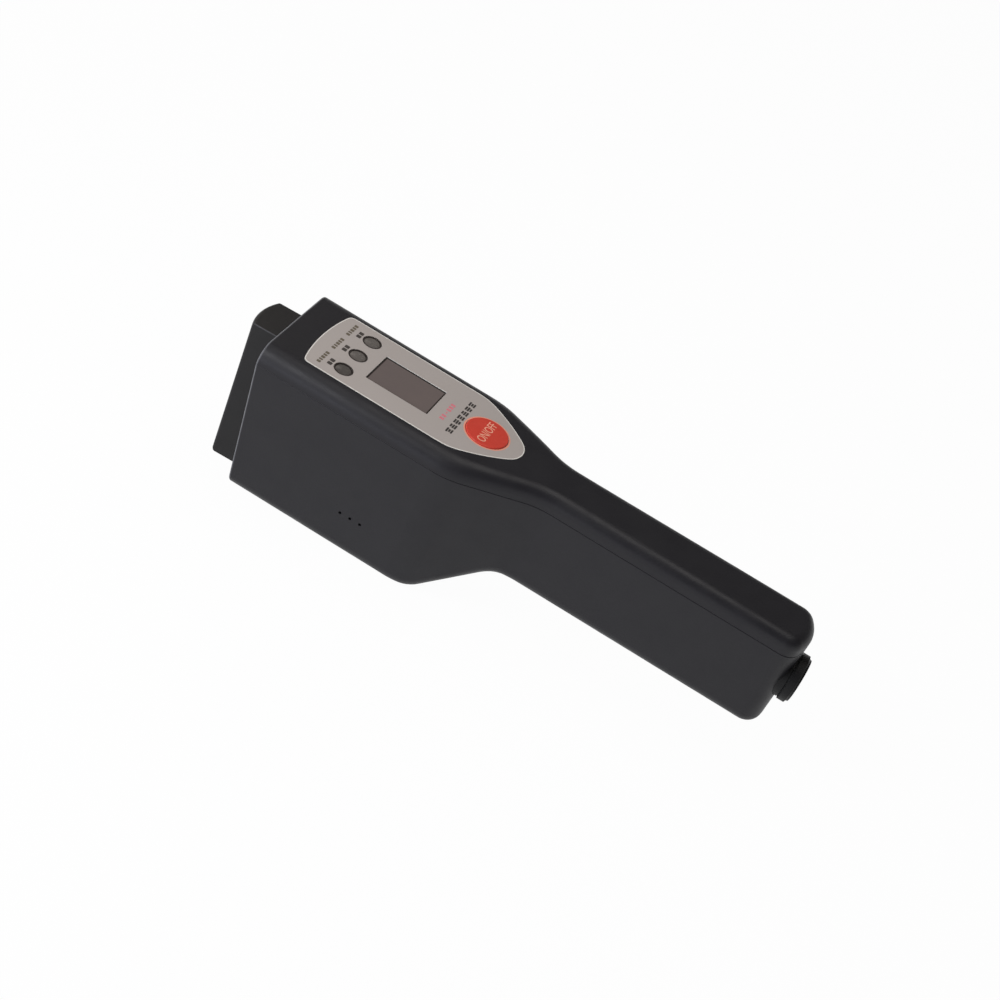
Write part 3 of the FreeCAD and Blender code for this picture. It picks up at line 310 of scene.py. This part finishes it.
def cell_wrap(name):
    """Shrink sleeve of a battery cell: glossy film with faint puckers along the cell."""
    made = Shader(name, srgb(52, 110, 132), 0.25, Specular_IOR_Level=0.5)
    made.bump(made.noise(260, 4, stretch=(0.2, 1, 1)), 0.00003, 0.6)
    made.mix_colour(made.ramp(made.noise(120, 4, stretch=(0.3, 1, 1)), 0.0, 0.4), srgb(40, 88, 110))
    made.roughen(made.ramp(made.noise(180, 4), 0.2, 0.36))
    return made.material


FINISHES = {
    "housing_black": housing_plastic("housing_black_finish", srgb(31, 30, 34), 0.43),
    "front_black": moulded("front_black_finish", srgb(34, 33, 34), 0.52),
    "nose_black": nose_plastic("nose_black_finish", srgb(25, 24, 25), 0.46),
    "pad_black": rubbery("pad_black_finish", srgb(34, 34, 36)),
    "copper_plate": metal("copper_plate_finish", srgb(201, 132, 92), 0.32),
    "board_green": circuit_board("board_green_finish"),
    "tinned_sheet": metal("tinned_sheet_finish", srgb(196, 196, 192), 0.34, (20, 1, 1)),
    "screw_steel": metal("screw_steel_finish", srgb(180, 180, 184), 0.3, (1, 1, 6)),
    "label_silver": label_sheet("label_silver_finish"),
    "window_grey": glass_panel("window_grey_finish"),
    "panel_grey": lacquer("panel_grey_finish", srgb(118, 116, 104), 0.3, 0.5),
    "module_black": moulded("module_black_finish", srgb(36, 36, 37), 0.6),
    "lens_smoke": smoked_lens("lens_smoke_finish", srgb(104, 98, 93)),
    "bezel_brown": lacquer("bezel_brown_finish", srgb(50, 43, 40), 0.4, 0.35),
    "diode_clear": smoked_lens("diode_clear_finish", srgb(226, 226, 220)),
    "switch_black": moulded("switch_black_finish", srgb(40, 40, 41), 0.6),
    "chip_black": moulded("chip_black_finish", srgb(34, 34, 36), 0.62, grain=2600),
    "buzzer_black": moulded("buzzer_black_finish", srgb(38, 38, 40), 0.55),
    "tube_grey": moulded("tube_grey_finish", srgb(22, 22, 23), 0.5, gloss=0.2),
    "contact_plated": metal("contact_plated_finish", srgb(206, 202, 190), 0.28, (12, 1, 1)),
    "cell_sleeve": cell_wrap("cell_sleeve_finish"),
    "button_red": lacquer("button_red_finish", srgb(208, 66, 50), 0.3),
    "cap_black": moulded("cap_black_finish", srgb(20, 20, 21), 0.5, grain=1800, gloss=0.2),
    "seal_rubber": rubbery("seal_rubber_finish", srgb(30, 30, 31)),
}
# light material for the label's rounded edges: a painted highlight along its rim
LABEL_EDGE_HIGHLIGHT = lacquer("label_edge_highlight", srgb(232, 228, 220), 0.5, 0.3)
INK_BORDER = printed("ink_border", srgb(226, 221, 212), 0.2)
# darker copy of the smoked lens for the near lamp: painted shade
LENS_NEAR_SHADED = smoked_lens("lens_near_finish", srgb(84, 79, 75))
INK_DARK = printed("ink_dark", srgb(62, 56, 52))
INK_TITLE = printed("ink_title", srgb(52, 47, 44), 0.2)
INK_FAINT = printed("ink_faint", srgb(98, 89, 74), 0.25)
INK_PINK = printed("ink_pink", srgb(205, 118, 126), 0.3)
# pale orange ring round the button: a painted reflection
REFLECTION_RING_PAINT = printed("reflection_ring_paint", srgb(234, 150, 124), 0.2)
INK_LETTER = printed("ink_letter", srgb(240, 168, 140), 0.25)

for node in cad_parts.values():
    for holder in node.material_slots:
        holder.material = FINISHES[holder.material.name.split(".")[0]]


# ---------------------------------------------------------------- mesh helpers

def mesh_of(name, source, place=(0, 0, 0)):
    """Mesh of a curve or text that is only needed for its shape."""
    holder = bpy.data.objects.new(name, source)
    holder.location = place
    bpy.context.scene.collection.objects.link(holder)
    bpy.context.view_layer.update()
    made = bpy.data.meshes.new_from_object(holder)
    made.transform(holder.matrix_world)
    bpy.data.objects.remove(holder)
    return made


def piece(name, mesh, finish, body, smooth=False):
    """Turn a bmesh into an object that rides on a body."""
    data = bpy.data.meshes.new(name)
    bmesh.ops.recalc_face_normals(mesh, faces=mesh.faces)
    mesh.to_mesh(data)
    mesh.free()
    data.materials.append(finish)
    if smooth:
        data.shade_smooth()
    made = bpy.data.objects.new(name, data)
    bpy.context.scene.collection.objects.link(made)
    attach(made, body)
    return made


def bar_outline(x, y, across, along, radius, steps=5):
    """Rounded bar in millimetres: across is its width along X and along is its width along Y."""
    points = []
    radius = min(radius, across / 2, along / 2)
    for index, (sx, sy) in enumerate(((1, 1), (-1, 1), (-1, -1), (1, -1))):
        for step in range(steps + 1):
            angle = math.pi / 2 * (index + step / steps)
            points.append((x + sx * (across / 2 - radius) + radius * math.cos(angle),
                           y + sy * (along / 2 - radius) + radius * math.sin(angle)))
    return points


def circle(x, y, radius, steps=96):
    return [(x + radius * math.cos(2 * math.pi * step / steps),
             y + radius * math.sin(2 * math.pi * step / steps)) for step in range(steps)]


def arc(start, end, radius, steps=48):
    """Points of an anticlockwise arc from start up to, but not including, end."""
    start, end = Vector(start), Vector(end)
    chord = end - start
    inward = Vector((-chord.y, chord.x)).normalized()
    centre = (start + end) / 2 + inward * math.sqrt(radius * radius - chord.length_squared / 4)
    first = math.atan2(start.y - centre.y, start.x - centre.x)
    sweep = 2 * math.asin(chord.length / 2 / radius)
    return [(centre.x + radius * math.cos(first + sweep * step / steps),
             centre.y + radius * math.sin(first + sweep * step / steps)) for step in range(steps)]


def even_points(points, spacing):
    """The same closed line with evenly spaced points."""
    loop = [Vector(point) for point in points] + [Vector(points[0])]
    made, left = [], 0.0
    for first, second in zip(loop, loop[1:]):
        length = (second - first).length
        while left < length:
            made.append(first.lerp(second, left / length))
            left += spacing
        left -= length
    return made


def softened(points, rounds, wanted):
    """Average each wanted point with its neighbours, again and again."""
    count = len(points)
    for _ in range(rounds):
        points = [(points[index - 1] + 2 * points[index] + points[(index + 1) % count]) / 4
                  if wanted(points[index]) else points[index] for index in range(count)]
    return points


def raise_outline(mesh, points, low, high):
    """Add a flat prism over an outline of (x, y), between two heights, in millimetres."""
    floor = [mesh.verts.new((x * MM, y * MM, low * MM)) for x, y in points]
    roof = [mesh.verts.new((x * MM, y * MM, high * MM)) for x, y in points]
    mesh.faces.new(roof)
    mesh.faces.new(list(reversed(floor)))
    count = len(points)
    for index in range(count):
        following = (index + 1) % count
        mesh.faces.new((floor[index], floor[following], roof[following], roof[index]))


def turned(mesh, profile, centre, steps=128):
    """Add a surface turned round an upright axis from (radius, height) pairs in millimetres."""
    rings = []
    for radius, height in profile:
        if radius < 1e-6:
            rings.append([mesh.verts.new((centre[0] * MM, centre[1] * MM, height * MM))])
            continue
        ring = []
        for step in range(steps):
            angle = 2 * math.pi * step / steps
            ring.append(mesh.verts.new(((centre[0] + radius * math.cos(angle)) * MM,
                                        (centre[1] + radius * math.sin(angle)) * MM, height * MM)))
        rings.append(ring)
    for first, second in zip(rings, rings[1:]):
        for step in range(steps):
            following = (step + 1) % steps
            corners = []
            for ring, index in ((first, step), (first, following), (second, following), (second, step)):
                corner = ring[index % len(ring)]
                if corner not in corners:
                    corners.append(corner)
            mesh.faces.new(corners)


# ---------------------------------------------------------------- places from the frame

# corners of boxes are in metres, and all single numbers are in millimetres
PLATE_LOW, PLATE_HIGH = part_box("label_plate")
WINDOW_LOW, WINDOW_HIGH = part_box("display_window")
BUTTON_LOW, BUTTON_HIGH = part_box("power_button")
LABEL_TOP = PLATE_HIGH.z / MM
WINDOW_END = WINDOW_HIGH.x / MM
BUTTON_X = (BUTTON_LOW.x + BUTTON_HIGH.x) / 2 / MM
BUTTON_TOP = BUTTON_HIGH.z / MM
BUTTON_FLANGE = (BUTTON_HIGH.y - BUTTON_LOW.y) / 2 / MM
BUTTON_RADIUS = BUTTON_FLANGE - 1.2
# each lamp's centre, radius and top
LAMPS = {}
for side in ("left", "middle", "right"):
    low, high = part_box("lamp_lens_" + side)
    LAMPS[side] = ((low + high) / 2 / MM, (high.x - low.x) / 2 / MM, high.z / MM)
LAMP_X = LAMPS["middle"][0].x


# ---------------------------------------------------------------- print on the label, and a painted reflection round the button

INK = 0.02
STROKES = (1.0, 0.72, 0.9)


def print_bars(name, finish, bars):
    mesh = bmesh.new()
    for bar in bars:
        raise_outline(mesh, bar_outline(*bar), LABEL_TOP - INK, LABEL_TOP + INK)
    piece(name, mesh, finish, "housing")


def character(x, y, turn):
    """Three bars side by side that stand for one printed character."""
    pitch, longest = 1.2, 3.5
    return [(x + pitch * (index - 1), y, 0.78 * pitch, longest * STROKES[(turn + index) % 3], 0.2)
            for index in range(3)]


def print_words():
    """Neutral bars where the real label has words."""
    captions = []
    notes = []
    for centre, _, _ in LAMPS.values():
        for shift in (-1.5, 1.5):
            captions.append((LAMP_X - 6.8, centre.y + shift, 2.4, 2.4, 0.45))
        for index, length in enumerate((1.8, 1.3, 1.9, 1.5, 1.8)):
            notes.append((LAMP_X - 11.2, centre.y - 4.5 + 2.25 * index, 2.0, length, 0.4))
    code = [(WINDOW_END + 6.5, y, 2.4, 1.7, 0.4) for y in (-8.2, -5.6, 0.2, 2.7, 5.2)]
    dash = (WINDOW_END + 6.5, -2.6, 0.7, 1.6, 0.3)
    title = []
    for index in range(7):
        title += character(WINDOW_END + 13.2, (index - 3) * 4.5, index)
    print_bars("label_captions", INK_DARK, captions)
    print_bars("label_notes", INK_FAINT, notes)
    print_bars("label_code", INK_PINK, code + [dash])
    print_bars("label_title", INK_TITLE, title)


def print_border(rim):
    """A light line just inside the label's rim."""
    outer, inner, buried = 0.08, 0.5, -0.05
    mesh = bmesh.new()
    rings = []
    for inset, height in ((outer, buried), (outer, INK), (inner, INK), (inner, buried)):
        ring = []
        for index, spot in enumerate(rim):
            along = (rim[(index + 1) % len(rim)] - rim[index - 1]).normalized()
            x, y = spot + inset * Vector((-along.y, along.x))
            ring.append(mesh.verts.new((x * MM, y * MM, (LABEL_TOP + height) * MM)))
        rings.append(ring)
    for first, second in zip(rings, rings[1:] + rings[:1]):
        for index in range(len(rim)):
            mesh.faces.new((first[index - 1], first[index], second[index], second[index - 1]))
    piece("label_border", mesh, INK_BORDER, "housing")


def paint_reflection_ring():
    """A painted reflection round the button: a pale ring."""
    inner, outer = BUTTON_RADIUS + 0.25, BUTTON_RADIUS + 0.95
    buried, above = LABEL_TOP - 0.05, LABEL_TOP + INK
    corners = [(inner, buried), (inner, above), (outer, above), (outer, buried), (inner, buried)]
    mesh = bmesh.new()
    turned(mesh, corners, (BUTTON_X, 0))
    piece("label_reflection_ring", mesh, REFLECTION_RING_PAINT, "housing")


# ---------------------------------------------------------------- label

FRONT_RADIUS = 110.0
SIDE_END = 41.0
SIDE_RADIUS = 100.0
TIP_HALF, TIP_DEPTH = 8.8, 4.0
SHEET_EDGE = 0.00007
LAMP_RING = 0.72


def label_rim():
    """Outline of the label: a bowed front, sides that bend in softly and a round tip."""
    half, tip = PLATE_HIGH.y / MM, PLATE_HIGH.x / MM
    front = PLATE_LOW.x / MM + FRONT_RADIUS - math.sqrt(FRONT_RADIUS ** 2 - half ** 2)
    taper = tip - TIP_DEPTH
    tip_radius = (TIP_HALF ** 2 + TIP_DEPTH ** 2) / (2 * TIP_DEPTH)
    points = arc((front, half), (front, -half), FRONT_RADIUS)
    points.append((front, -half))
    points += arc((SIDE_END, -half), (taper, -TIP_HALF), SIDE_RADIUS)
    points += arc((taper, -TIP_HALF), (taper, TIP_HALF), tip_radius)
    points += arc((taper, TIP_HALF), (SIDE_END, half), SIDE_RADIUS)
    points.append((SIDE_END, half))
    points = even_points(points, 0.4)
    points = softened(points, 40, lambda point: point.x < -25)
    points = softened(points, 160, lambda point: 28 < point.x < 56)
    return softened(points, 8, lambda point: True)


def label_openings():
    """Outlines of the label's openings for the window, the lamps and the button."""
    middle = (WINDOW_HIGH.x + WINDOW_LOW.x) / 2 / MM
    across = (WINDOW_HIGH.x - WINDOW_LOW.x) / MM + 0.2
    along = 2 * WINDOW_HIGH.y / MM + 0.2
    openings = [bar_outline(middle, 0, across, along, 0.35)]
    openings += [circle(centre.x, centre.y, radius + LAMP_RING) for centre, radius, _ in LAMPS.values()]
    openings.append(circle(BUTTON_X, 0, BUTTON_RADIUS + 0.2))
    return openings


def label_mesh(rim):
    """The label as a flat sheet with rounded edges, whose edges take the second material, a painted
    highlight.
    """
    flat = bpy.data.curves.new("label_source", "CURVE")
    flat.dimensions = "2D"
    flat.fill_mode = "BOTH"
    flat.extrude = (PLATE_HIGH.z - PLATE_LOW.z) / 2 - SHEET_EDGE
    flat.bevel_depth = SHEET_EDGE
    flat.bevel_resolution = 2
    flat.offset = -SHEET_EDGE
    for loop in [rim] + label_openings():
        spline = flat.splines.new("POLY")
        spline.points.add(len(loop) - 1)
        for point, (x, y) in zip(spline.points, loop):
            point.co = (x * MM, y * MM, 0, 1)
        spline.use_cyclic_u = True
    mesh = bmesh.new()
    mesh.from_mesh(mesh_of("label_source", flat, (0, 0, (PLATE_HIGH.z + PLATE_LOW.z) / 2)))
    bmesh.ops.remove_doubles(mesh, verts=mesh.verts, dist=0.000001)
    for face in mesh.faces:
        face.material_index = 0 if abs(face.normal.z) > 0.9 else 1
    return mesh


print_words()
rim = label_rim()
label = piece("label_sheet", label_mesh(rim), FINISHES["label_silver"], "housing")
label.data.materials.append(LABEL_EDGE_HIGHLIGHT)
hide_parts("label_plate")
print_border(rim)
paint_reflection_ring()


# ---------------------------------------------------------------- power button

LETTERS_LONG, LETTERS_TALL, LETTERS_DEEP = 16.6, 4.5, 0.06


def button_profile():
    """Half section of the button in millimetres, from its crown to the foot of its stem."""
    crown, corner, stem = BUTTON_TOP - 0.03, 0.55, 2.0
    profile = [(0.0, crown)]
    for radius in (2, 4, 6, 8, BUTTON_RADIUS - 1.0, BUTTON_RADIUS - 0.7):
        profile.append((radius, crown - 0.10 * (radius / BUTTON_RADIUS) ** 4))
    for step in range(1, 9):
        angle = math.pi / 2 * step / 8
        profile.append((BUTTON_RADIUS - corner + corner * math.sin(angle),
                        crown - 0.62 + corner * math.cos(angle)))
    foot = BUTTON_LOW.z / MM
    profile += [(BUTTON_RADIUS, BUTTON_TOP - 3.3), (BUTTON_FLANGE, BUTTON_TOP - 3.5),
                (BUTTON_FLANGE, BUTTON_TOP - 4.7), (stem, BUTTON_TOP - 4.7), (stem, foot), (0.0, foot)]
    return profile


def button_letters():
    """ON/OFF across the button, a few hundredths of a millimetre above its dome."""
    words = bpy.data.curves.new("button_words", "FONT")
    words.body = "ON/OFF"
    words.align_x = "CENTER"
    words.align_y = "CENTER"
    words.size = 1.0
    words.extrude = 0.5
    words.resolution_u = 6
    lettering = mesh_of("button_words_source", words)
    spots = [vertex.co for vertex in lettering.vertices]
    span = [(min(spot[axis] for spot in spots), max(spot[axis] for spot in spots)) for axis in range(3)]
    for vertex in lettering.vertices:
        along, tall, deep = [(place - start) / (end - start) for place, (start, end) in zip(vertex.co, span)]
        vertex.co = Vector(((BUTTON_X - 0.3 - (tall - 0.5) * LETTERS_TALL) * MM,
                            (along - 0.5) * LETTERS_LONG * MM,
                            (BUTTON_TOP - LETTERS_DEEP + LETTERS_DEEP * deep) * MM))
    mesh = bmesh.new()
    mesh.from_mesh(lettering)
    piece("button_letters", mesh, INK_LETTER, "power_button")


dome = bmesh.new()
turned(dome, button_profile(), (BUTTON_X, 0), 160)
button = piece("button_cap", dome, FINISHES["button_red"], "power_button", smooth=True)
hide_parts("power_button")
button_letters()


# ---------------------------------------------------------------- lamps

def lens_profile(radius, top):
    """Half section of a lens in millimetres: a low dome with eight fine grooves on a short plug."""
    rise, skirt = 0.22, radius - 0.02
    profile = [(0.0, top + rise)]
    for step in range(1, 33):
        reach = (radius - 0.35) * step / 32
        groove = 0.05 if step % 4 == 0 else 0.0
        profile.append((reach, top + rise * (1 - (reach / radius) ** 2) - groove))
    return profile + [(skirt, top - 0.12), (skirt, top - 2.0), (0.0, top - 2.0)]


for side, (centre, radius, top) in LAMPS.items():
    mesh = bmesh.new()
    turned(mesh, lens_profile(radius, top), (centre.x, centre.y), 96)
    # the near lamp takes the darker copy of the lens: painted shade
    finish = LENS_NEAR_SHADED if centre.y < -1 else FINISHES["lens_smoke"]
    lens = piece("lens_" + side, mesh, finish, "housing", smooth=True)
    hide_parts("lamp_lens_" + side)


# ---------------------------------------------------------------- floor and world

def staged(name, corners, finish):
    data = bpy.data.meshes.new(name)
    data.from_pydata(corners, [], [tuple(range(len(corners)))])
    data.materials.append(finish)
    made = bpy.data.objects.new(name, data)
    bpy.context.scene.collection.objects.link(made)


def seen_directly(tree):
    """One for camera, glossy and transmission rays, and nought for all others."""
    path = tree.nodes.new("ShaderNodeLightPath")
    seen = path.outputs["Is Camera Ray"]
    for kind in ("Is Glossy Ray", "Is Transmission Ray"):
        larger = tree.nodes.new("ShaderNodeMath")
        larger.operation = "MAXIMUM"
        tree.links.new(seen, larger.inputs[0])
        tree.links.new(path.outputs[kind], larger.inputs[1])
        seen = larger.outputs[0]
    return seen


def blended(tree, share, first, second):
    """Output of a mix of two shaders by a share."""
    blend = tree.nodes.new("ShaderNodeMixShader")
    tree.links.new(share, blend.inputs["Fac"])
    tree.links.new(first.outputs[0], blend.inputs[1])
    tree.links.new(second.outputs[0], blend.inputs[2])
    return blend


def product(tree, first, second):
    """Output of two sockets, or a socket and a number, multiplied."""
    made = tree.nodes.new("ShaderNodeMath")
    made.operation = "MULTIPLY"
    tree.links.new(first, made.inputs[0])
    if isinstance(second, float):
        made.inputs[1].default_value = second
    else:
        tree.links.new(second, made.inputs[1])
    return made.outputs[0]


def floor_paper():
    """Pale paper that takes the object's shadow and looks nearly white by itself."""
    paper = bpy.data.materials.new("floor_paper")
    paper.use_nodes = True
    tree = paper.node_tree
    ground = tree.nodes["Principled BSDF"]
    ground.inputs["Base Color"].default_value = (0.86, 0.86, 0.86, 1)
    ground.inputs["Roughness"].default_value = 0.9
    ground.inputs["Specular IOR Level"].default_value = 0.1
    glow = tree.nodes.new("ShaderNodeEmission")
    blend = blended(tree, product(tree, seen_directly(tree), 0.97), ground, glow)
    tree.links.new(blend.outputs[0], tree.nodes["Material Output"].inputs["Surface"])
    return paper


def background(tree, colour, strength):
    made = tree.nodes.new("ShaderNodeBackground")
    made.inputs["Color"].default_value = colour
    made.inputs["Strength"].default_value = strength
    return made


def studio():
    """A soft room. It is seen as white, and reflections from above the backdrop are of a dim warm ceiling."""
    world = bpy.data.worlds.new("studio")
    world.use_nodes = True
    tree = world.node_tree
    room = tree.nodes["Background"]
    room.inputs["Color"].default_value = (0.90, 0.93, 1.0, 1)
    room.inputs["Strength"].default_value = 0.2
    white = background(tree, (1, 1, 1, 1), 1.0)
    ceiling = background(tree, (1.0, 0.93, 0.84, 1), 0.1)
    backdrop = blended(tree, seen_directly(tree), room, white)
    # in reflections the white backdrop fades out from 1 to 17 degrees above the horizon
    heading = tree.nodes.new("ShaderNodeTexCoord")
    height = tree.nodes.new("ShaderNodeSeparateXYZ")
    above = tree.nodes.new("ShaderNodeMapRange")
    above.inputs["From Min"].default_value = 0.02
    above.inputs["From Max"].default_value = 0.3
    tree.links.new(heading.outputs["Generated"], height.inputs[0])
    tree.links.new(height.outputs["Z"], above.inputs["Value"])
    path = tree.nodes.new("ShaderNodeLightPath")
    mirrored = product(tree, above.outputs["Result"], path.outputs["Is Glossy Ray"])
    sky = blended(tree, mirrored, backdrop, ceiling)
    tree.links.new(sky.outputs[0], tree.nodes["World Output"].inputs["Surface"])
    return world


FLOOR_Z = -0.00005
FLOOR_HALF = 6
quarters = ((-1, -1), (1, -1), (1, 1), (-1, 1))
staged("floor", [(sx * FLOOR_HALF, sy * FLOOR_HALF, FLOOR_Z) for sx, sy in quarters], floor_paper())
bpy.context.scene.world = studio()


# ---------------------------------------------------------------- lights and camera

HEAD = (-0.02, 0, 0.05)


def softbox(name, place, width, height, watts, colour):
    """A lamp of that size in metres that faces the head."""
    lamp = bpy.data.lights.new(name, "AREA")
    lamp.color = colour
    lamp.shape = "RECTANGLE"
    lamp.size = width
    lamp.size_y = height
    lamp.energy = watts
    made = bpy.data.objects.new(name, lamp)
    made.location = place
    made.rotation_euler = (Vector(HEAD) - Vector(place)).to_track_quat("-Z", "Y").to_euler()
    bpy.context.scene.collection.objects.link(made)


softbox("key_box", (-0.34, -0.42, 0.55), 0.3, 0.3, 2.6, (0.96, 0.97, 1.0))
softbox("low_box", (-0.38, -0.75, 0.2), 0.5, 0.25, 1.75, (0.84, 0.87, 1.0))
softbox("top_box", (0.06, 0.05, 1.0), 0.6, 0.6, 2.7, (1.0, 0.97, 0.93))
softbox("back_box", (-0.75, 1.0, 0.8), 0.5, 0.5, 1.1, (1.0, 0.93, 0.84))

CAMERA_PLACE = Vector((0.15515, -0.69665, 0.57500))
CAMERA_RIGHT = Vector((0.85036, 0.37683, 0.36727))
CAMERA_UP = Vector((-0.51719, 0.46993, 0.71532))
CAMERA_BACK = Vector((0.09696, -0.79823, 0.59450))
camera = bpy.data.objects.new("camera", bpy.data.cameras.new("camera"))
camera.data.lens = 66.70
camera.data.sensor_width = 36
turn = Matrix((CAMERA_RIGHT, CAMERA_UP, CAMERA_BACK)).transposed()
camera.matrix_world = Matrix.Translation(CAMERA_PLACE) @ turn.to_4x4()
bpy.context.scene.collection.objects.link(camera)
bpy.context.scene.camera = camera
bpy.context.scene.view_settings.view_transform = "Standard"
